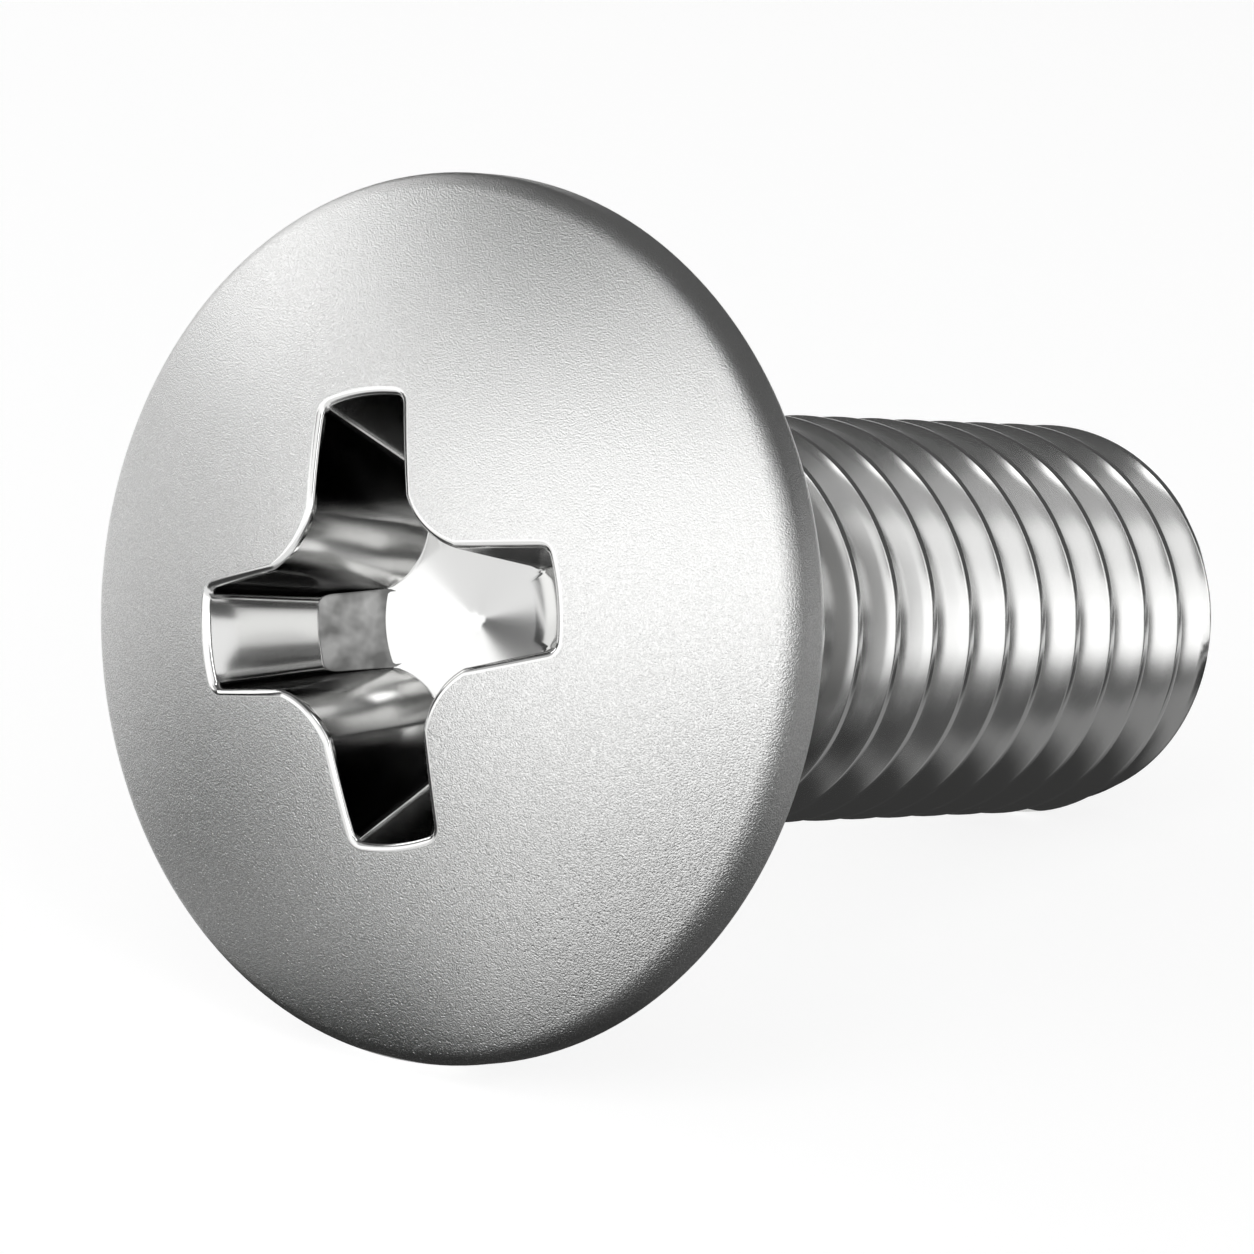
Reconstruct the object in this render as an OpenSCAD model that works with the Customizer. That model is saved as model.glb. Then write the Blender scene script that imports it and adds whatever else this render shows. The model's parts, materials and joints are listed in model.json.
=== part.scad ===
// Machine screw with a low domed head and a cross recess, fully threaded.
// Modelled lying as it comes to rest: the head's rim and the last two crests
// of the thread touch the plane z = 0, the head faces -Y and the tip +Y.
// Millimetres. In the screw's own frame the axis is +Z towards the tip and
// the bearing face under the head is z = 0.

/* [Thread] */
// Major diameter of the thread
thread_d = 8; // [6:0.25:9]
// Pitch, from one turn to the next
pitch = 1.25; // [1:0.05:1.5]
// Length under the head, from the bearing face to the tip
length = 20; // [14:1:40]
// Plain neck between the bearing face and the start of the thread
neck_len = 0.7; // [0.6:0.1:3]
// Length of the 45 degree chamfer on the tip
lead_len = 0.6; // [0.4:0.05:0.8]

/* [Head] */
// Diameter of the head
head_d = 16.4; // [14:0.2:20]
// Height of the head from the bearing face to the top of the dome
head_h = 3.1; // [2.8:0.1:4]
// Height of the head's edge before it is rounded
rim_h = 1; // [0.8:0.05:1.2]
// Radius between the dome and the edge
rim_top_r = 0.6; // [0.3:0.05:0.8]
// Radius between the edge and the bearing face
rim_low_r = 0.25; // [0.1:0.05:0.3]
// Radius in the corner under the head
neck_r = 0.4; // [0.2:0.05:0.6]

/* [Cross recess] */
// Span of the cross, from wing end to wing end at the dome
recess_d = 8.2; // [7:0.1:9]
// Width of a wing at its outer end
wing_end_w = 1.86; // [1.4:0.02:2.2]
// Width of a wing where it joins the middle
wing_root_w = 2.1; // [1.8:0.02:2.4]
// Distance from the axis to where the rounded corners between the wings start
corner_reach = 2.1; // [1.9:0.05:2.5]
// Radius of the rounded corners between the wings
corner_r = 1.7; // [1.2:0.05:2.5]
// Depth of the wings' outer walls, from the lip to the floor
wall_depth = 2.05; // [1.5:0.05:2.2]
// Diameter of the flatter middle of the floor
floor_d = 3.9; // [3:0.1:4.6]
// Turn of the cross to the left of upright, facing the head of the lying screw
recess_turn = 15; // [0:1:45]

/* [Hidden] */

// Fineness of the parts made of flat facets
turn_steps = 36;
corner_steps = 6;

// Thread form: 60 degree flanks, with the standard depth and crest for its pitch
flank_angle = 30;
thread_depth = 0.6134 * pitch;
crest_w = pitch / 8;
major_r = thread_d / 2;
root_r = major_r - thread_depth;
root_w = pitch - crest_w - 2 * thread_depth * tan(flank_angle);
// The groove's cutter stands this far out of the major diameter
cutter_over = 0.08;
cutter_r = major_r + cutter_over;
// Part of a turn over which the groove runs out under the head
runout = 0.75;
tip_r = major_r - lead_len;

// Head: the dome is a cap of a sphere through the edge's upper corner
head_r = head_d / 2;
dome_h = head_h - rim_h;
dome_r = (head_r * head_r + dome_h * dome_h) / (2 * dome_h);
dome_z = dome_r - head_h;
rim_x = head_r - rim_top_r;
rim_z = dome_z - sqrt(pow(dome_r - rim_top_r, 2) - rim_x * rim_x);
// Where the dome meets the rim's rounding, seen from the sphere's centre
blend_angle = asin(rim_x / (dome_r - rim_top_r));
clear = 1;

// Recess: end walls lean in like the driver's tip, side walls have a little draft
end_angle = 26.5;
draft_angle = 6.5;
corner_draft = 5.75;
floor_angle = 28;
middle_angle = 8;
recess_r = recess_d / 2;
lip_z = dome_z - sqrt(dome_r * dome_r - recess_r * recess_r);
wall_z = lip_z + wall_depth;
wall_r = recess_r - wall_depth * tan(end_angle);
floor_r = floor_d / 2;
floor_z = wall_z + (wall_r - floor_r) * tan(floor_angle);
apex_z = floor_z + floor_r * tan(middle_angle);
recess_top = -head_h - clear;
recess_low = apex_z + clear;

// Rest: the plane touches the rim's lower rounding and two crests at the tip. A
// turn of the screw lowers one crest and raises the other, so it stays as it lies.
// This slope is near enough to place the crests, and the tilt is then exact
rest_slope = (head_r - major_r) / (length - lead_len - pitch / 2);
chamfer_drop = (1 - rest_slope) / (1 + tan(flank_angle));
crest_back = (pitch - crest_w) * chamfer_drop / (chamfer_drop + rest_slope);
// Middle of the last full crest on the underside
last_crest = length - lead_len - crest_back - crest_w / 2;
down_angle = 90;
rest_run = last_crest + crest_w / 2 + rim_low_r;
rest_drop = head_r - rim_low_r - major_r;
tilt = atan(rest_drop / rest_run)
    + asin(rim_low_r / norm([rest_run, rest_drop]));
lift = (head_r - rim_low_r) * cos(tilt) - rim_low_r * sin(tilt) + rim_low_r;
// The origin stands under the middle of the screw's length as it lies
front_y = dome_z * cos(tilt) - dome_r;
back_y = max(length * cos(tilt) + tip_r * sin(tilt),
    (length - lead_len) * cos(tilt) + major_r * sin(tilt));
mid_y = (front_y + back_y) / 2;

// Half of the section of the head and the shank, turned about the axis
module blank_section() {
    // Dome, up to where the rim's rounding starts
    intersection() {
        translate([0, dome_z]) circle(r = dome_r, $fn = 180);
        polygon([[0, 0], [0, -head_h - clear],
            [(dome_r + clear) * sin(blend_angle),
                dome_z - (dome_r + clear) * cos(blend_angle)],
            [rim_x, rim_z], [rim_x, 0]]);
    }
    // Rim between its two roundings
    polygon([[rim_x - clear, rim_z], [head_r, rim_z], [head_r, -rim_low_r],
        [head_r - rim_low_r, -rim_low_r], [head_r - rim_low_r, 0],
        [rim_x - clear, 0]]);
    translate([rim_x, rim_z]) circle(r = rim_top_r, $fn = 48);
    translate([head_r - rim_low_r, -rim_low_r]) circle(r = rim_low_r, $fn = 32);
    // Shank with its chamfered tip
    polygon([[0, -clear], [major_r, -clear], [major_r, length - lead_len],
        [tip_r, length], [0, length]]);
    // Small radius in the corner under the head
    difference() {
        translate([major_r - clear, -clear])
            square([clear + neck_r, clear + neck_r]);
        translate([major_r + neck_r, neck_r]) circle(r = neck_r, $fn = 32);
    }
}

// How far the cutter is drawn back at a point of the run-out, 0 to 1
function runout_lift(turn) = turn >= runout ? 0 : 1 - turn / runout;

// Four corners of the groove's cutter at one step along the helix
function groove_ring(i, first_z) =
    let(turn = i / turn_steps, a = 360 * turn, z = first_z + pitch * turn,
        low = root_r + (cutter_r - cutter_over / 8 - root_r) * runout_lift(turn),
        half_low = root_w / 2,
        half_top = half_low + (cutter_r - low) * tan(flank_angle))
    [for (p = [[cutter_r, -half_top], [low, -half_low], [low, half_low],
            [cutter_r, half_top]])
        [p[0] * cos(a), p[0] * sin(a), z + p[1]]];

// Triangles that join ring i to the next one of n points
function band(i, n) = [for (k = [0 : n - 1]) let(j = (k + 1) % n)
    each [[i * n + k, i * n + n + j, i * n + j],
        [i * n + k, i * n + n + k, i * n + n + j]]];

// Helical cutter: a right-hand groove from the neck to past the tip
module groove() {
    corners = 4;
    start_z = neck_len + crest_w;
    // The groove lies half a pitch from the crests, counted from the last one
    phase = last_crest + pitch / 2 - pitch * down_angle / 360;
    first_z = phase - pitch * floor((phase - start_z) / pitch);
    steps = ceil((length + pitch - first_z) / pitch * turn_steps);
    points = [for (i = [0 : steps]) each groove_ring(i, first_z)];
    faces = concat([[0, 1, 2], [0, 2, 3]],
        [for (i = [0 : steps - 1]) each band(i, corners)],
        [[for (k = [0, 2, 1]) steps * corners + k],
            [for (k = [0, 3, 2]) steps * corners + k]]);
    polyhedron(points, faces, convexity = 10);
}

// Outline of the cross at a depth below the lip, a quarter at a time
function cross_outline(z) =
    let(deep = z - lip_z, draw = deep * tan(draft_angle),
        root_h = wing_root_w / 2 - draw,
        reach = corner_reach - deep * tan(corner_draft),
        taper = (wing_root_w - wing_end_w) / 2 / (recess_r - corner_reach),
        far = recess_r + 2 * clear,
        far_h = root_h - taper * (far - reach),
        half_chord = (reach - root_h) / sqrt(2),
        bow = sqrt(corner_r * corner_r - half_chord * half_chord),
        mid = (reach + root_h) / 2 + bow / sqrt(2),
        spread = asin(half_chord / corner_r))
    [for (q = [0 : 3])
        each [for (p = concat([[far, far_h]],
                [for (k = [0 : corner_steps])
                    let(a = 225 + spread * (1 - 2 * k / corner_steps))
                    [mid + corner_r * cos(a), mid + corner_r * sin(a)]],
                [[far_h, far]]))
            [p[0] * cos(90 * q) - p[1] * sin(90 * q),
                p[0] * sin(90 * q) + p[1] * cos(90 * q), z]]];

// Four wings with draft, running out past the wings' end walls
module cross() {
    points = concat(cross_outline(recess_top - clear), cross_outline(recess_low));
    n = len(points) / 2;
    faces = concat([[for (k = [0 : n - 1]) k]], band(0, n),
        [[for (k = [0 : n - 1]) 2 * n - 1 - k]]);
    polyhedron(points, faces, convexity = 6);
}

// Cross recess: the wings, ended by a cone and floored by two flatter cones
module recess() {
    intersection() {
        rotate_extrude($fn = 96)
            polygon([[0, recess_top],
                [recess_r + (lip_z - recess_top) * tan(end_angle), recess_top],
                [wall_r, wall_z], [floor_r, floor_z], [0, apex_z]]);
        cross();
    }
}

// The screw in its own frame: upset and rolled from one piece of wire
module screw_upright() {
    difference() {
        rotate_extrude($fn = 96) blank_section();
        groove();
        rotate([0, 0, -recess_turn]) recess();
    }
}

// The screw as it lies at rest
module screw() {
    color("silver")
        translate([0, -mid_y, lift])
            rotate([-90 - tilt, 0, 0])
                screw_upright();
}

screw();
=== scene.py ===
import json
import math

import bmesh
import bpy
from mathutils import Matrix, Vector


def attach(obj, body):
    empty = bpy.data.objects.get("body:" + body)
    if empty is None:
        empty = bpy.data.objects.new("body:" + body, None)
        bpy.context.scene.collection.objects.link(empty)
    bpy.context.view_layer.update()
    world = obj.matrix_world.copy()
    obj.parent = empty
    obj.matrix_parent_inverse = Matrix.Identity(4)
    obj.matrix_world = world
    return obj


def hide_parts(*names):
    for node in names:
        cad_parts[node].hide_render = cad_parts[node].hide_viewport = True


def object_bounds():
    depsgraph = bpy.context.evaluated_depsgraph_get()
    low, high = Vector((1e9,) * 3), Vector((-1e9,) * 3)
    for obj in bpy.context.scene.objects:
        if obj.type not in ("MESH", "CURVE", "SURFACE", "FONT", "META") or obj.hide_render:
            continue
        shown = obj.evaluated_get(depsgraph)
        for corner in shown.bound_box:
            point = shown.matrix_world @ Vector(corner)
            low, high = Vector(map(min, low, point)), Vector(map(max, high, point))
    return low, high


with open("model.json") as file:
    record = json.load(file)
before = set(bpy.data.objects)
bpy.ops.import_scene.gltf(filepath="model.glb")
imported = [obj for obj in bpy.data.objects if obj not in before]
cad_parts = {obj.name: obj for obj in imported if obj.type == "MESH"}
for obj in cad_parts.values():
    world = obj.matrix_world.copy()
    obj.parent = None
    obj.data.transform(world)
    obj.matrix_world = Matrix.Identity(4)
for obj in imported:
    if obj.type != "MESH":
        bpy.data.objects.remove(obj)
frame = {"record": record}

cad_low, cad_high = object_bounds()

# The screw's own frame, in millimetres: its axis is +Z towards the tip and the
# bearing face under the head is z = 0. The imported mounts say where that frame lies,
# so the finished mesh is put in place by one matrix and rests as the solid does.
MM = 0.001
mounts = {mount["name"]: mount for mount in frame["record"]["mounts"]}
sideways = Vector((1, 0, 0))
screw_axis = Vector(mounts["thread"]["axis"]).normalized()
bearing_point = Vector(mounts["bearing_face"]["pos_m"])
axis_point = Vector(mounts["thread"]["pos_m"])
bearing_centre = axis_point - screw_axis * (axis_point - bearing_point).dot(screw_axis)
lying = Matrix((sideways, screw_axis.cross(sideways), screw_axis)).transposed().to_4x4()
in_place = Matrix.Translation(bearing_centre) @ lying @ Matrix.Scale(MM, 4)

# Thread: rolled into the wire between flat dies, the full length of the shank. The
# metal flows up into narrow flat crests and the die leaves a rounded root. It runs
# out under the head, and a 45 degree chamfer starts it at the tip.
THREAD_R = mounts["thread"]["dims"]["r_mm"]
PITCH = 1.25
LENGTH = 20.0
CHAMFER_START = mounts["thread"]["dims"]["length_mm"]
FLANK = math.radians(30)
GROOVE_DEPTH = 0.6134 * PITCH
CREST_W = PITCH / 8
CREST_EDGE_R = 0.045
ROOT_R = 0.18
RUNOUT_TURNS = 0.75
NECK_TOP = 0.7
STEPS_A_TURN = 128
ROOT_STEPS = 4
FLANK_STEPS = 4
CREST_STEPS = 3
# Turns that are made beyond the neck and then cut off with it
SPARE_TURNS = 3
# Distances within which two points are merged, and a point counts as on a cut
WELD = 0.002
CUT_SLACK = 1e-5


def arc(centre_r, centre_z, radius, start, end, steps):
    """Points (radius, height) along an arc in the half section, angles in degrees."""
    angles = [math.radians(start + (end - start) * k / steps) for k in range(steps + 1)]
    return [(centre_r + radius * math.cos(a), centre_z + radius * math.sin(a)) for a in angles]


def chain(bm, points):
    """Joins points (radius, height) by edges in the half plane y = 0."""
    verts = [bm.verts.new((r, 0, z)) for r, z in points]
    return verts + [bm.edges.new(pair) for pair in zip(verts, verts[1:])]


def thread_groove():
    """Half section of one turn, from the middle of a crest to the middle of the next."""
    root = arc(THREAD_R - GROOVE_DEPTH + ROOT_R, 0, ROOT_R, 240, 180, ROOT_STEPS)
    edge_w = CREST_EDGE_R * math.tan((math.pi / 2 - FLANK) / 2)
    crest_edge = arc(THREAD_R - CREST_EDGE_R, CREST_W / 2 - edge_w - PITCH / 2, CREST_EDGE_R,
                     0, 60, CREST_STEPS)
    top_r, top_z = crest_edge[-1]
    low_r, low_z = root[0]
    shares = [k / FLANK_STEPS for k in range(1, FLANK_STEPS)]
    flank = [(top_r + (low_r - top_r) * share, top_z + (low_z - top_z) * share) for share in shares]
    half = [(THREAD_R, -PITCH / 2)] + crest_edge + flank + root
    return half + [(r, -z) for r, z in reversed(half[:-1])]


# The last two crests touch the ground: these follow from the slope of the lying screw
axis_y, axis_z = mounts["thread"]["axis"][1:]
slope = -axis_z / axis_y
chamfer_drop = (1 - slope) / (1 + math.tan(FLANK))
crest_back = (PITCH - CREST_W) * chamfer_drop / (chamfer_drop + slope)
last_crest = CHAMFER_START - crest_back - CREST_W / 2
# Middle of the first groove where the turn starts, on the +X side, a quarter before down
phase = last_crest + PITCH / 2 - PITCH / 4
first_groove = phase - PITCH * math.floor((phase - NECK_TOP - CREST_W) / PITCH)

bm = bmesh.new()
place_layer = bm.verts.layers.int.new("place")
bmesh.ops.spin(bm, geom=chain(bm, [(r, first_groove + z) for r, z in thread_groove()]),
               cent=(0, 0, 0), axis=(0, 0, 1), dvec=(0, 0, PITCH / STEPS_A_TURN),
               angle=2 * math.pi, steps=STEPS_A_TURN, use_merge=False)
one_turn = bm.verts[:] + bm.edges[:] + bm.faces[:]
for turn in range(-SPARE_TURNS, math.ceil((LENGTH - first_groove) / PITCH) + 1):
    if turn != 0:
        copied = bmesh.ops.duplicate(bm, geom=one_turn)["geom"]
        bmesh.ops.translate(bm, vec=(0, 0, turn * PITCH),
                            verts=[v for v in copied if isinstance(v, bmesh.types.BMVert)])
bmesh.ops.remove_doubles(bm, verts=bm.verts, dist=WELD)

# The groove fades out under the head, and the chamfer trims the crests at the tip
for vert in bm.verts:
    radius = math.hypot(vert.co.x, vert.co.y)
    share = math.atan2(vert.co.y, vert.co.x) / (2 * math.pi) % 1
    turn = share + round((vert.co.z - first_groove) / PITCH - share)
    fade = 1 - min(max(turn / RUNOUT_TURNS, 0), 1)
    formed = min(radius + GROOVE_DEPTH * fade, THREAD_R)
    formed = min(formed, THREAD_R - (vert.co.z - CHAMFER_START))
    vert.co.x *= formed / radius
    vert.co.y *= formed / radius

for plane_z, outward in ((NECK_TOP, -1), (LENGTH, 1)):
    bmesh.ops.bisect_plane(bm, geom=bm.verts[:] + bm.edges[:] + bm.faces[:], dist=CUT_SLACK,
                           plane_co=(0, 0, plane_z), plane_no=(0, 0, outward), clear_outer=True)
tip_rim = [e for e in bm.edges if e.is_boundary and e.verts[0].co.z > LENGTH / 2]
neck_rim = [e for e in bm.edges if e.is_boundary and e.verts[0].co.z < LENGTH / 2]
bmesh.ops.holes_fill(bm, edges=tip_rim, sides=0)

# Numbers of the finishes on the mesh, in the order of its material slots. The wings' sides and the left
# wing's floor get painted shade.
THREAD, BLASTED, PRESSED, WING_SHADE, FLOOR_SHADE = range(5)
for face in bm.faces:
    face.material_index = THREAD

# Head: upset cold from the wire's end into a low dome with a rounded edge, flat
# underneath, with a small radius in the corner against the shank. Bead blasting
# after forming leaves it evenly matt.
HEAD_R = (cad_high.x - cad_low.x) / 2 / MM
recess_point = Vector(mounts["cross_recess"]["pos_m"])
HEAD_H = (bearing_centre - recess_point).dot(screw_axis) / MM
RIM_H = 1.0
RIM_TOP_R = 0.6
RIM_LOW_R = 0.25
NECK_R = 0.4
# Height under the head where its mesh stops and is bridged to the thread's
NECK_END = 0.55
# Radius on the dome inside which the mesh follows the recess
PATCH_R = 5.6
AROUND = 192
NECK_STEPS = 8
UNDERSIDE_STEPS = 4
RIM_LOW_STEPS = 6
RIM_TOP_STEPS = 12
DOME_STEPS = 8
dome_h = HEAD_H - RIM_H
dome_r = (HEAD_R ** 2 + dome_h ** 2) / (2 * dome_h)
dome_z = dome_r - HEAD_H
rim_x = HEAD_R - RIM_TOP_R
rim_z = dome_z - math.sqrt((dome_r - RIM_TOP_R) ** 2 - rim_x ** 2)
blend = math.degrees(math.asin(rim_x / (dome_r - RIM_TOP_R)))
patch_edge = math.degrees(math.asin(PATCH_R / dome_r))
underside_from = THREAD_R + NECK_R
underside_w = HEAD_R - RIM_LOW_R - underside_from

section = [(THREAD_R, NECK_END)]
section += arc(underside_from, NECK_R, NECK_R, 180, 270, NECK_STEPS)
section += [(underside_from + underside_w * k / UNDERSIDE_STEPS, 0) for k in range(1, UNDERSIDE_STEPS)]
section += arc(HEAD_R - RIM_LOW_R, -RIM_LOW_R, RIM_LOW_R, 90, 0, RIM_LOW_STEPS)
section += arc(rim_x, rim_z, RIM_TOP_R, 0, blend - 90, RIM_TOP_STEPS)
section += arc(0, dome_z, dome_r, blend - 90, patch_edge - 90, DOME_STEPS)[1:]
shank_verts = set(bm.verts)
bmesh.ops.spin(bm, geom=chain(bm, section), cent=(0, 0, 0), axis=(0, 0, 1), dvec=(0, 0, 0),
               angle=2 * math.pi, steps=AROUND, use_merge=True)
head_verts = [v for v in bm.verts if v not in shank_verts]
neck_end = [e for e in bm.edges if e.is_boundary
            and all(v not in shank_verts and v.co.z > 0 for v in e.verts)]
joined = bmesh.ops.bridge_loops(bm, edges=neck_end + neck_rim)
for vert in head_verts:
    for face in vert.link_faces:
        face.material_index = BLASTED
for face in joined["faces"]:
    face.material_index = THREAD

# Cross recess: pressed into the dome by a hard polished punch while the head is
# formed, so its walls are smooth and bright. Four drafted wings with rounded
# corners between them stand on a floor of two cones, and the lip is rounded.
RECESS_R = mounts["cross_recess"]["dims"]["r_mm"]
WING_END_W = 1.86
WING_ROOT_W = 2.1
CORNER_REACH = 2.1
CORNER_R = 1.7
WALL_DEPTH = 2.05
FLOOR_R = 1.95
END_LEAN = math.tan(math.radians(26.5))
WALL_DRAFT = math.tan(math.radians(6.5))
CORNER_DRAFT = math.tan(math.radians(5.75))
FLOOR_SLOPE = math.tan(math.radians(28))
MIDDLE_SLOPE = math.tan(math.radians(8))
CORNER_ROUND = 0.18
LIP_R = 0.13
EDGE_R = 0.12
EDGE_STEPS = 3
EDGE_ANGLE = math.radians(26)
# Steps of the outline along half a wing: its end, the end's corner and its side
END_STEPS = 5
CORNER_STEPS = 5
SIDE_STEPS = 5
WING_STEPS = END_STEPS + CORNER_STEPS + SIDE_STEPS
quarter = AROUND // 4
# The cross is turned by a whole number of steps, which is 15 degrees
TURN_STEPS = 8
recess_turn = -TURN_STEPS * 2 * math.pi / AROUND
# Rows of faces from the patch's edge to the middle of the floor
DOME_ROWS = 6
LIP_ROWS = 6
WALL_ROWS = 4
FLOOR_ROWS = 3
MIDDLE_ROWS = 4
# The crease of the floor keeps inside the outline, and its last row inside the crease
CREASE_SHARE = 0.9
MIDDLE_REACH = 1.15
SETTLE_ROUNDS = 30


def dome_height(radius):
    """Height of the dome at a radius."""
    return dome_z - math.sqrt(dome_r ** 2 - radius ** 2)


lip_z = dome_height(RECESS_R)
wall_z = lip_z + WALL_DEPTH
wall_r = RECESS_R - WALL_DEPTH * END_LEAN


def floor_height(radius):
    """Height of the recess's floor at a radius."""
    if radius > FLOOR_R:
        return wall_z + (wall_r - radius) * FLOOR_SLOPE
    return wall_z + (wall_r - FLOOR_R) * FLOOR_SLOPE + (FLOOR_R - radius) * MIDDLE_SLOPE


def bend(start, corner, stop, share):
    """Point of a curve that rounds a corner between two points beside it."""
    return start.lerp(corner, share).lerp(corner.lerp(stop, share), share)


def outline(place, z):
    """Point of the cross's outline at a height, by its number counted round the cross."""
    side, step = divmod(place, quarter)
    mirrored = step > quarter / 2
    if mirrored:
        step = quarter - step
    deep = z - lip_z
    end_r = RECESS_R - deep * END_LEAN
    root_half = WING_ROOT_W / 2 - deep * WALL_DRAFT
    reach = CORNER_REACH - deep * CORNER_DRAFT
    taper = (WING_ROOT_W - WING_END_W) / 2 / (RECESS_R - CORNER_REACH)
    end_half = root_half - taper * (end_r - reach)
    corner = Vector((math.sqrt(end_r ** 2 - end_half ** 2), end_half, z))
    root = Vector((reach, root_half, z))
    side_start = corner + (root - corner).normalized() * CORNER_ROUND
    if step <= END_STEPS:
        half = (end_half - CORNER_ROUND) * step / END_STEPS
        point = Vector((math.sqrt(end_r ** 2 - half ** 2), half, z))
    elif step <= END_STEPS + CORNER_STEPS:
        half = end_half - CORNER_ROUND
        end_stop = Vector((math.sqrt(end_r ** 2 - half ** 2), half, z))
        point = bend(end_stop, corner, side_start, (step - END_STEPS) / CORNER_STEPS)
    elif step <= WING_STEPS:
        point = side_start.lerp(root, (step - END_STEPS - CORNER_STEPS) / SIDE_STEPS)
    else:
        share = (step - WING_STEPS) / (quarter - 2 * WING_STEPS)
        half_chord = (reach - root_half) / math.sqrt(2)
        middle = (reach + root_half) / 2 + math.sqrt((CORNER_R ** 2 - half_chord ** 2) / 2)
        spread = math.asin(half_chord / CORNER_R)
        towards_axis = math.radians(225)
        angle = towards_axis + spread * (1 - 2 * share)
        point = Vector((middle + CORNER_R * math.cos(angle), middle + CORNER_R * math.sin(angle), z))
    if mirrored:
        point.x, point.y = point.y, point.x
    return Matrix.Rotation(side * math.pi / 2 + recess_turn, 3, "Z") @ point


def settle(place, height_at):
    """Where the outline meets a surface given by its height at a radius."""
    z = lip_z
    for _ in range(SETTLE_ROUNDS):
        point = outline(place, z)
        z = height_at(math.hypot(point.x, point.y))
    return outline(place, z)


mouth = [settle(place, dome_height) for place in range(AROUND)]
foot = [settle(place, floor_height) for place in range(AROUND)]
# The lip's rounding starts on the dome beside the mouth and stops on the wall below it
lip_start = []
for before, point, after in zip(mouth[-1:] + mouth, mouth, mouth[1:] + mouth[:1]):
    along = (after.xy - before.xy).normalized()
    start = point.xy + Vector((along.y, -along.x)) * LIP_R
    lip_start.append(Vector((start.x, start.y, dome_height(start.length))))
for vert in head_verts:
    angle = math.atan2(vert.co.y, vert.co.x) - recess_turn
    vert[place_layer] = round(angle / (2 * math.pi) * AROUND) % AROUND


def on_dome(place, share):
    """Point on the dome, a share of the way from the patch's edge to the lip."""
    start = 2 * math.pi * place / AROUND + recess_turn
    end = math.atan2(lip_start[place].y, lip_start[place].x)
    turn_left = (end - start + math.pi) % (2 * math.pi) - math.pi
    angle = start + turn_left * share
    radius = PATCH_R + (lip_start[place].xy.length - PATCH_R) * share
    return Vector((radius * math.cos(angle), radius * math.sin(angle), dome_height(radius)))


def on_lip(place, share):
    """Point on the rounding of the lip."""
    return bend(lip_start[place], mouth[place], on_wall(place, 0), share)


def on_wall(place, share):
    """Point on the wall, a share of the way from the lip's rounding to the foot."""
    lip_stop = mouth[place].z + LIP_R
    return outline(place, lip_stop + (foot[place].z - lip_stop) * share)


def floor_radii(place):
    """Radius of the foot, and of the crease between the floor's two cones."""
    foot_r = math.hypot(foot[place].x, foot[place].y)
    return foot_r, min(FLOOR_R, CREASE_SHARE * foot_r)


def on_floor(place, share):
    """Point on the steeper cone of the floor, from the foot to the crease."""
    foot_r, crease_r = floor_radii(place)
    radius = foot_r + (crease_r - foot_r) * share
    point = foot[place].xy * (radius / foot_r)
    return Vector((point.x, point.y, floor_height(radius)))


def on_middle(place, share):
    """Point on the flatter cone in the middle, from the crease to near its apex."""
    foot_r, crease_r = floor_radii(place)
    radius = crease_r * (1 - share / MIDDLE_REACH)
    point = foot[place].xy * (radius / foot_r)
    return Vector((point.x, point.y, floor_height(radius)))


ring = [e for e in bm.edges if e.is_boundary]
for slot, place_at, rows in ((BLASTED, on_dome, DOME_ROWS), (PRESSED, on_lip, LIP_ROWS),
                             (WING_SHADE, on_wall, WALL_ROWS), (PRESSED, on_floor, FLOOR_ROWS),
                             (PRESSED, on_middle, MIDDLE_ROWS)):
    for row in range(1, rows + 1):
        grown = bmesh.ops.extrude_edge_only(bm, edges=ring)["geom"]
        for vert in (item for item in grown if isinstance(item, bmesh.types.BMVert)):
            vert.co = place_at(vert[place_layer], row / rows)
        for face in (item for item in grown if isinstance(item, bmesh.types.BMFace)):
            face.material_index = slot
            places = [vert[place_layer] for vert in face.verts]
            # A wing's end wall gets no painted shade, and is as bright as the floor
            from_wing_middle = [min(place % quarter, quarter - place % quarter) for place in places]
            if slot == WING_SHADE and max(from_wing_middle) <= END_STEPS + CORNER_STEPS // 2:
                face.material_index = PRESSED
            # The left wing's floor gets painted shade too
            from_left_middle = [abs(place - AROUND // 2) for place in places]
            if place_at == on_floor and max(from_left_middle) <= WING_STEPS:
                face.material_index = FLOOR_SHADE
        ring = [e for e in grown if isinstance(e, bmesh.types.BMEdge) and e.is_boundary]
middle = bmesh.ops.contextual_create(bm, geom=ring)["faces"]
apex = bmesh.ops.poke(bm, faces=middle)
for vert in apex["verts"]:
    vert.co = (0, 0, floor_height(0))
for face in apex["faces"]:
    face.material_index = PRESSED
bmesh.ops.recalc_face_normals(bm, faces=bm.faces)

pressed_edges = [e for e in bm.edges if len(e.link_faces) == 2
                 and all(f.material_index >= PRESSED for f in e.link_faces)
                 and e.calc_face_angle() > EDGE_ANGLE]
bmesh.ops.bevel(bm, geom=pressed_edges, offset=EDGE_R, offset_type="OFFSET", affect="EDGES",
                segments=EDGE_STEPS, profile=0.5, material=-1, clamp_overlap=True)
for face in bm.faces:
    face.smooth = True
bm.transform(in_place)

mesh = bpy.data.meshes.new("steel_screw")
bm.to_mesh(mesh)
bm.free()
steel_screw = bpy.data.objects.new("steel_screw", mesh)
bpy.context.scene.collection.objects.link(steel_screw)
shading = steel_screw.modifiers.new("flat faces shade flat", "WEIGHTED_NORMAL")
shading.keep_sharp = False
shading.weight = 50


def linear(code):
    """Linear colour of an sRGB hex code."""
    parts = [int(code[k:k + 2], 16) / 255 for k in (1, 3, 5)]
    return [p / 12.92 if p <= 0.04045 else ((p + 0.055) / 1.055) ** 2.4 for p in parts] + [1.0]


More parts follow.
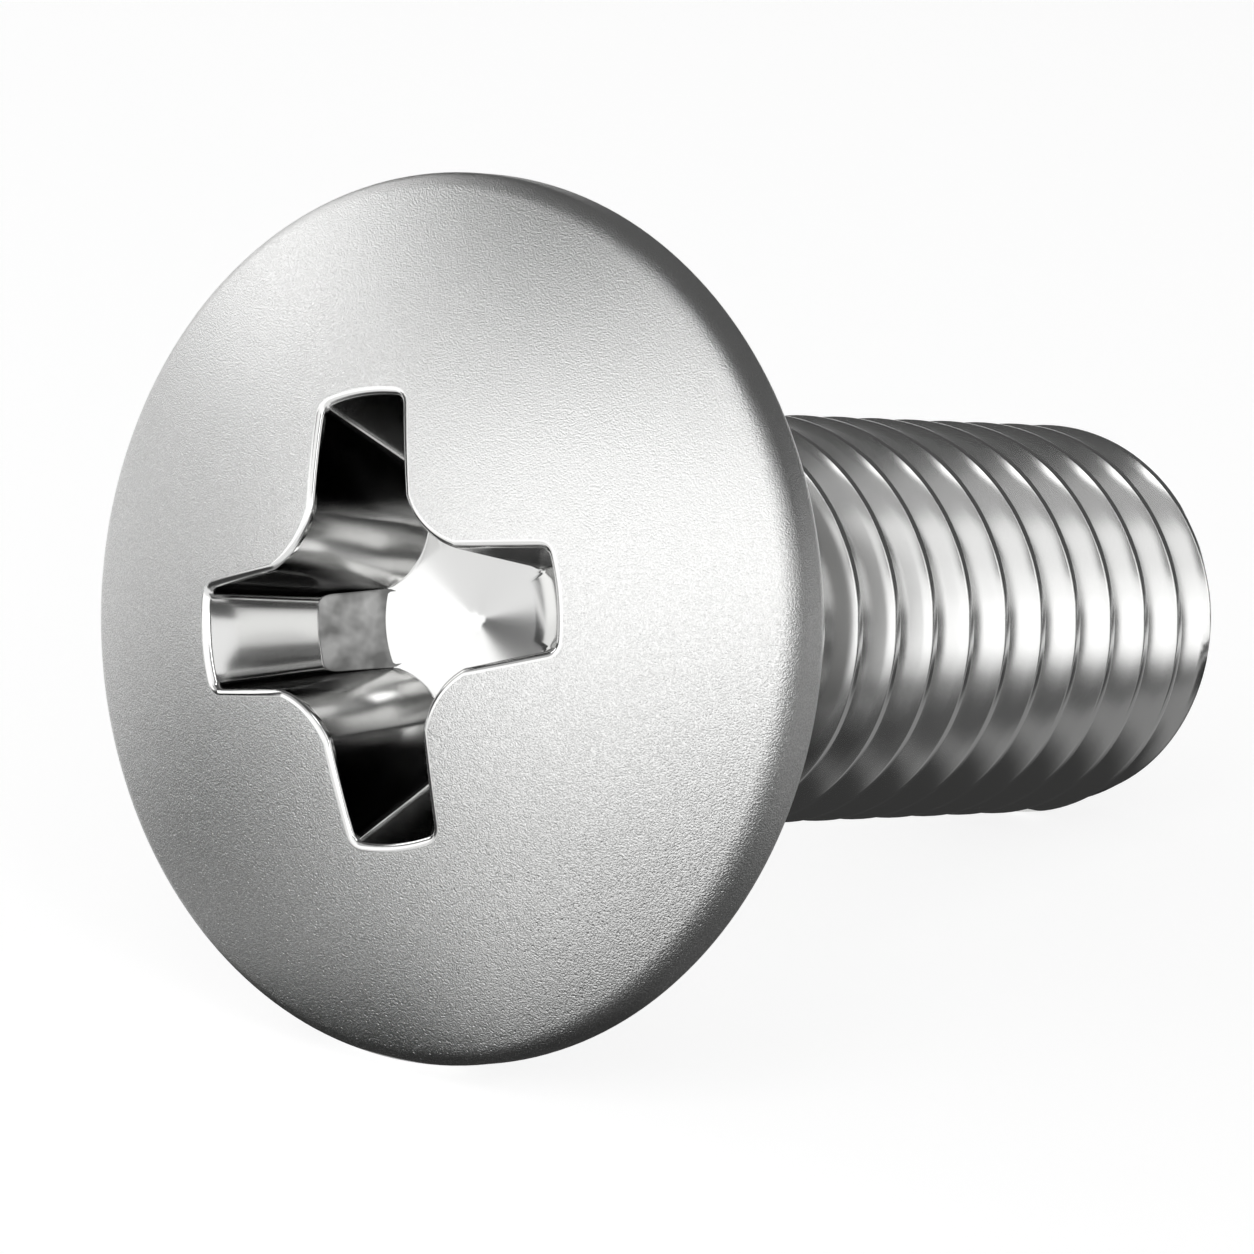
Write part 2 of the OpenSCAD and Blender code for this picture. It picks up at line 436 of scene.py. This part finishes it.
def node(tree, kind, inputs=None, **settings):
    """Adds a node, with its settings, and with each input either linked or set."""
    made = tree.nodes.new(kind)
    for name, value in settings.items():
        setattr(made, name, value)
    for name, value in (inputs or {}).items():
        socket = made.inputs[name]
        if isinstance(value, bpy.types.NodeSocket):
            tree.links.new(value, socket)
        else:
            socket.default_value = value
    return made


def sockets(material):
    """The sockets of a material's shader, by name."""
    return material.node_tree.nodes["Principled BSDF"].inputs


def plain_material(name, settings):
    """A material of one shader, with constant values on its sockets."""
    material = bpy.data.materials.new(name)
    material.use_nodes = True
    for socket, value in settings.items():
        sockets(material)[socket].default_value = value
    return material


# Rolled stainless steel: the dies burnish it, so the thread is smoother than the head
# and its reflections are clearer.
rolled_steel = plain_material("stainless_steel_rolled", {
    "Metallic": 1.0, "Roughness": 0.19, "Base Color": linear("#D8D8D7")})

# Bead-blasted stainless steel: the beads leave even dents about 0.03 mm wide, which
# scatter the light softly, and a few larger ones that sparkle. Low on the head they
# are drawn deeper and with darker flecks, as the photograph shows more grain there.
DENT_MM = 0.032
DENT_DEPTH_MM = 0.024
PIT_CELL_MM = 0.11
# Share of its cell that a pit fills
PIT_SHARE = 0.28
PIT_DEPTH_MM = 0.012
# Heights over the table, in mm, between which the grain and the pits grow stronger
GRAIN_FAINT_Z = 12
GRAIN_FULL_Z = 5
PITS_END_Z = 8
PITS_FULL_Z = 4
blasted_steel = plain_material("stainless_steel_bead_blasted", {"Metallic": 1.0, "Roughness": 0.29})
tree = blasted_steel.node_tree
where = node(tree, "ShaderNodeTexCoord").outputs["Object"]
height = node(tree, "ShaderNodeSeparateXYZ", {"Vector": where}).outputs["Z"]
grain_range = {"Value": height, "From Min": GRAIN_FAINT_Z * MM, "From Max": GRAIN_FULL_Z * MM}
pit_cells = node(tree, "ShaderNodeTexVoronoi", {"Vector": where, "Scale": 1 / (PIT_CELL_MM * MM)})
pits = node(tree, "ShaderNodeMapRange", {
    "Value": pit_cells.outputs["Distance"], "From Max": PIT_SHARE})
pits_low_down = node(tree, "ShaderNodeMapRange", {
    "Value": height, "From Min": PITS_END_Z * MM, "From Max": PITS_FULL_Z * MM})
pitted = node(tree, "ShaderNodeBump", {
    "Height": pits.outputs["Result"], "Strength": pits_low_down.outputs["Result"],
    "Distance": PIT_DEPTH_MM * MM})
dents = node(tree, "ShaderNodeTexNoise", {
    "Vector": where, "Scale": 1 / (DENT_MM * MM), "Detail": 2.0})
dent_strength = node(tree, "ShaderNodeMapRange", grain_range | {"To Min": 0.55, "To Max": 1.0})
dented = node(tree, "ShaderNodeBump", {
    "Height": dents.outputs["Fac"], "Normal": pitted.outputs["Normal"],
    "Strength": dent_strength.outputs["Result"], "Distance": DENT_DEPTH_MM * MM})
tree.links.new(dented.outputs["Normal"], sockets(blasted_steel)["Normal"])
flecks = node(tree, "ShaderNodeMapRange", {
    "Value": dents.outputs["Fac"], "From Min": 0.36, "From Max": 0.6})
fleck_contrast = node(tree, "ShaderNodeMapRange", grain_range | {"To Min": 0.16, "To Max": 0.7})
greyed = node(tree, "ShaderNodeMath", {
    0: flecks.outputs["Result"], 1: fleck_contrast.outputs["Result"]}, operation="MULTIPLY")
tone = node(tree, "ShaderNodeMix", {
    "Factor": greyed.outputs[0], "A": linear("#F0F0EF"), "B": linear("#B4B4B3")}, data_type="RGBA")
tree.links.new(tone.outputs["Result"], sockets(blasted_steel)["Base Color"])

# Pressed stainless steel: the punch's polish leaves the recess bright, like a dull mirror.
pressed_steel = plain_material("stainless_steel_pressed", {
    "Metallic": 1.0, "Roughness": 0.12, "Base Color": linear("#DDDDDC")})

# Pressed stainless steel with painted shade: the sides of the wings are painted dark, standing for the
# shade deep in the recess, and the painted shade fades out towards the screw's axis.
SHADE_FROM_R = 1.9
SHADE_FULL_R = 2.5
wing_shade_steel = plain_material("stainless_steel_pressed_painted_wing_shade", {"Metallic": 1.0, "Roughness": 0.2})
tree = wing_shade_steel.node_tree
where = node(tree, "ShaderNodeTexCoord").outputs["Object"]
on_axis = node(tree, "ShaderNodeMapping", {
    "Vector": where, "Location": bearing_centre, "Rotation": lying.to_euler()}, vector_type="TEXTURE")
across = node(tree, "ShaderNodeVectorMath", {0: on_axis.outputs[0], 1: (1, 1, 0)}, operation="MULTIPLY")
from_axis = node(tree, "ShaderNodeVectorMath", {0: across.outputs[0]}, operation="LENGTH")
# Painted shade: full from 2.5 mm off the axis outwards, none within 1.9 mm
painted_shade = node(tree, "ShaderNodeMapRange", {
    "Value": from_axis.outputs["Value"], "From Min": SHADE_FROM_R * MM, "From Max": SHADE_FULL_R * MM},
    interpolation_type="SMOOTHSTEP")
tone = node(tree, "ShaderNodeMix", {
    "Factor": painted_shade.outputs["Result"], "A": linear("#E6E6E5"), "B": linear("#2C2C2C")}, data_type="RGBA")
tree.links.new(tone.outputs["Result"], sockets(wing_shade_steel)["Base Color"])

# Pressed stainless steel with painted shade: the floor of the left wing is painted a darker grey, in
# uneven patches about half a millimetre wide.
SHADE_PATCH_MM = 0.5
floor_shade_steel = plain_material("stainless_steel_pressed_painted_floor_shade", {"Metallic": 1.0, "Roughness": 0.16})
tree = floor_shade_steel.node_tree
where = node(tree, "ShaderNodeTexCoord").outputs["Object"]
shade_patches = node(tree, "ShaderNodeTexNoise", {
    "Vector": where, "Scale": 1 / (SHADE_PATCH_MM * MM), "Detail": 2.0})
painted_shade = node(tree, "ShaderNodeMapRange", {
    "Value": shade_patches.outputs["Fac"], "From Min": 0.35, "From Max": 0.65})
tone = node(tree, "ShaderNodeMix", {
    "Factor": painted_shade.outputs["Result"], "A": linear("#5E5E5D"), "B": linear("#8C8C8B")}, data_type="RGBA")
tree.links.new(tone.outputs["Result"], sockets(floor_shade_steel)["Base Color"])

for steel in (rolled_steel, blasted_steel, pressed_steel, wing_shade_steel, floor_shade_steel):
    mesh.materials.append(steel)
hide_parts("screw")
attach(steel_screw, "root")

# Floor: a plain white table top, larger than any view. The camera and the metal see
# it white, and a soft shadow stays under the screw.
FLOOR_HALF = 2.0
FLOOR_GLOW = 0.86


def stage_piece(name, bm, material):
    """Adds a mesh of the studio, which is no part of the screw."""
    shape = bpy.data.meshes.new(name)
    bm.to_mesh(shape)
    bm.free()
    shape.materials.append(material)
    piece = bpy.data.objects.new(name, shape)
    bpy.context.scene.collection.objects.link(piece)
    return piece


table_paint = plain_material("white_matt_table_paint", {
    "Base Color": linear("#959595"), "Roughness": 0.9, "Specular IOR Level": 0.0,
    "Emission Color": linear("#FFFFFF")})
tree = table_paint.node_tree
ray = node(tree, "ShaderNodeLightPath").outputs
in_metal = node(tree, "ShaderNodeMath", {
    0: ray["Is Glossy Ray"], 1: ray["Is Transmission Ray"]}, operation="MAXIMUM")
seen = node(tree, "ShaderNodeMath", {
    0: ray["Is Camera Ray"], 1: in_metal.outputs[0]}, operation="MAXIMUM")
glow = node(tree, "ShaderNodeMath", {0: seen.outputs[0], 1: FLOOR_GLOW}, operation="MULTIPLY")
tree.links.new(glow.outputs[0], sockets(table_paint)["Emission Strength"])
bm = bmesh.new()
bmesh.ops.create_grid(bm, x_segments=1, y_segments=1, size=FLOOR_HALF)
stage_piece("floor", bm, table_paint)

# Studio: a dim room with screens that stand round the screw, bent like strips of a
# globe and kept out of the picture. The wide ones give the dome its even greys, and
# the narrow ones the bright and dark marks on the rim, the thread and the recess.
ROOM_LIGHT = 0.1
SCREEN_ROWS = 8
SCREEN_COLUMNS = 24
# Azimuths and elevations in degrees, distance in m and brightness of each screen.
# Azimuth 0 is past the tip (+Y), 90 is on the side of +X, 180 is before the head (-Y)
SCREENS = {
    "front_screen": ((124, 230), (0, 26), 0.30, 1.42),
    "front_top_screen": ((146, 202), (26, 43), 0.30, 1.25),
    "middle_top_screen": ((202, 238), (27, 43), 0.30, 0.58),
    "top_screen": ((146, 238), (43, 55), 0.30, 0.48),
    "left_screen": ((262, 304), (10, 38), 0.30, 1.1),
    "left_key": ((244, 264), (14, 36), 0.30, 2.2),
    "ridge_light": ((134, 176), (59, 69), 0.28, 3.0),
    "edge_light": ((117, 130), (14, 60), 0.28, 2.8),
    "key_light": ((200, 229), (0, 14), 0.28, 1.5),
    "thread_light": ((142, 168), (0, 17), 0.28, 1.75),
    "left_gap_shade": ((231, 250), (0, 11), 0.28, 0.05),
    "right_light": ((74, 106), (12, 38), 0.28, 1.1),
}


def glowing(name, brightness):
    """A surface of an even brightness, which reflects nothing."""
    material = plain_material(name, {
        "Base Color": linear("#000000"), "Specular IOR Level": 0.0,
        "Emission Color": linear("#FFFFFF"), "Emission Strength": brightness})
    material.cycles.emission_sampling = "NONE"
    return material


for name, ((first, last), (lowest, highest), distance, brightness) in SCREENS.items():
    bm = bmesh.new()
    strip = chain(bm, arc(0, 0, distance, lowest, highest, SCREEN_ROWS))
    bmesh.ops.rotate(bm, cent=(0, 0, 0), matrix=Matrix.Rotation(math.radians(90 - first), 3, "Z"),
                     verts=bm.verts[:])
    bmesh.ops.spin(bm, geom=strip, cent=(0, 0, 0), axis=(0, 0, 1), dvec=(0, 0, 0),
                   angle=-math.radians(last - first), steps=SCREEN_COLUMNS, use_merge=False)
    stage_piece(name, bm, glowing(name, brightness)).visible_camera = False

# Soft dark patches lie on the table beside and under the screw, one just above the
# other, and give the metal its dark edges. Only the metal sees them.
SHADE_SIDES = 48
SHADE_GAP_MM = 0.02
# Middle and half sizes in mm, turn in degrees, brightness, and the share of the half
# size at which the edge begins to fade
SHADES = {
    "shade_left": ((-85, -42), (60, 24), 20, 0.4, 0.4),
    "shade_right": ((80, -5), (75, 55), 0, 0.06, 0.65),
    "shade_back": ((45, 62), (45, 50), 0, 0.08, 0.6),
    "shade_front_right": ((19, -23), (17, 20), 0, 0.22, 0.45),
    "shade_gap": ((-25, -24), (30, 14), 28, 0.06, 0.6),
    "shade_near": ((-3, -14), (8, 7), 0, 0.3, 0.3),
    "shade_window": ((10, 4), (10, 22), 0, 0.3, 0.6),
    "shade_beside": ((9, -9), (9, 9), 0, 0.1, 0.6),
    "shade_behind": ((12, 12), (6, 8), 0, 0.06, 0.5),
    "shade_under": ((0, 4), (5, 20), 0, 0.05, 0.6),
    "shade_contact": ((0, -9.5), (8, 3.5), 0, 0.04, 0.6),
}
for layer, (name, (middle, halves, turn, brightness, fade_from)) in enumerate(SHADES.items(), 1):
    bm = bmesh.new()
    bmesh.ops.create_circle(bm, cap_ends=True, segments=SHADE_SIDES, radius=1)
    soft = glowing(name, brightness)
    tree = soft.node_tree
    where = node(tree, "ShaderNodeTexCoord").outputs["Object"]
    from_middle = node(tree, "ShaderNodeVectorMath", {0: where}, operation="LENGTH")
    solid = node(tree, "ShaderNodeMapRange", {
        "Value": from_middle.outputs["Value"], "From Min": fade_from, "From Max": 1.0,
        "To Min": 1.0, "To Max": 0.0}, interpolation_type="SMOOTHSTEP")
    tree.links.new(solid.outputs["Result"], sockets(soft)["Alpha"])
    shade = stage_piece(name, bm, soft)
    shade.location = (middle[0] * MM, middle[1] * MM, SHADE_GAP_MM * MM * layer)
    shade.scale = (halves[0] * MM, halves[1] * MM, 1)
    shade.rotation_euler.z = math.radians(turn)
    shade.visible_camera = False
    shade.visible_diffuse = False
    shade.visible_shadow = False

world = bpy.data.worlds.new("studio")
bpy.context.scene.world = world
world.use_nodes = True
room = world.node_tree.nodes["Background"].inputs
room["Color"].default_value = linear("#FFFFFF")
room["Strength"].default_value = ROOM_LIGHT

# Camera: a long lens, low before the head and on its +X side, as the photograph was
# taken. Its place and lens were fitted to the outlines of the head and the shank.
CAMERA_AZIMUTH = math.radians(-38.073)
CAMERA_ELEVATION = math.radians(15.933)
CAMERA_DISTANCE = 133.2 * MM
CAMERA_TARGET = Vector((-2.823, 0, 5.414)) * MM
CAMERA_LENS_MM = 193.74
CAMERA_SENSOR_MM = 36
# Nearest and farthest distances that the camera draws, in m
CAMERA_NEAREST = 0.005
CAMERA_FARTHEST = 10
camera_data = bpy.data.cameras.new("camera")
camera_data.lens = CAMERA_LENS_MM
camera_data.sensor_width = CAMERA_SENSOR_MM
camera_data.clip_start = CAMERA_NEAREST
camera_data.clip_end = CAMERA_FARTHEST
camera = bpy.data.objects.new("camera", camera_data)
bpy.context.scene.collection.objects.link(camera)
looking = Vector((math.sin(CAMERA_AZIMUTH) * math.cos(CAMERA_ELEVATION),
                  math.cos(CAMERA_AZIMUTH) * math.cos(CAMERA_ELEVATION),
                  -math.sin(CAMERA_ELEVATION)))
camera.location = CAMERA_TARGET - looking * CAMERA_DISTANCE
camera.rotation_euler = looking.to_track_quat("-Z", "Y").to_euler()
bpy.context.scene.camera = camera
bpy.context.scene.view_settings.view_transform = "Standard"
